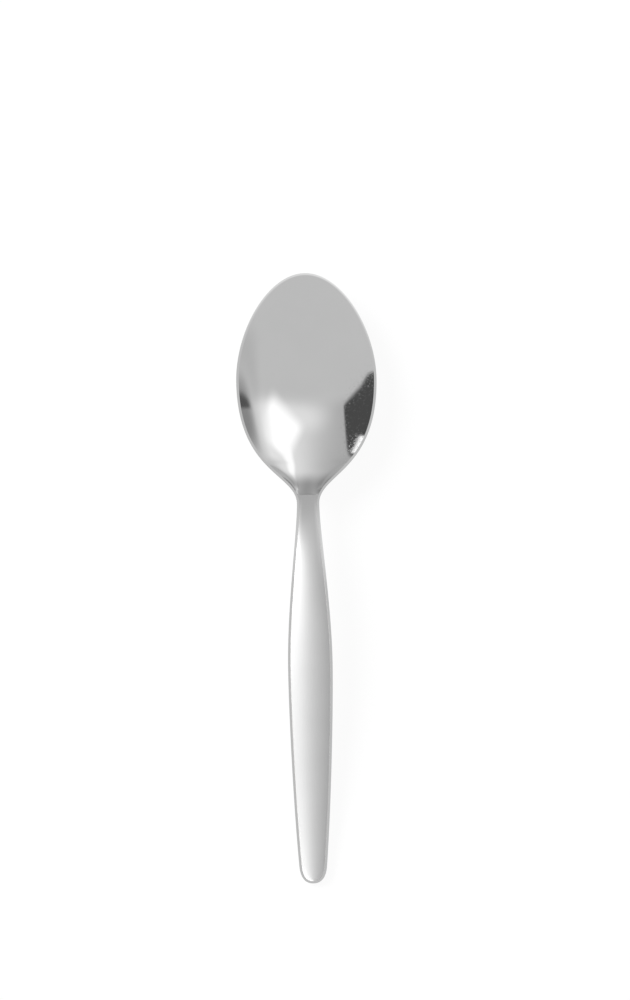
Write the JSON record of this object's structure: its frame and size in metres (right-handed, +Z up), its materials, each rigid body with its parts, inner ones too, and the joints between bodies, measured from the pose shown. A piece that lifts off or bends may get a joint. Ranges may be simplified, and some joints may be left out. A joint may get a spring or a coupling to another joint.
{
  "type": "demitasse spoon",
  "caption": "Small stainless steel coffee spoon with an egg-shaped bowl, a narrow neck and a leaf-shaped, slightly hollow handle, for stirring and sipping from a demitasse cup.",
  "frame": {"origin": "on the table plane the spoon lies on, under the middle of its length and width", "axes": "+Y along the spoon towards the tip of the bowl, +Z up out of the bowl, +X to the right when the bowl points away"},
  "size_m": [0.0252, 0.11, 0.0085],
  "materials": {
    "stainless_steel": "satin"
  },
  "bodies": {
    "root": {"spoon": "stainless_steel"}
  },
  "joints": []
}
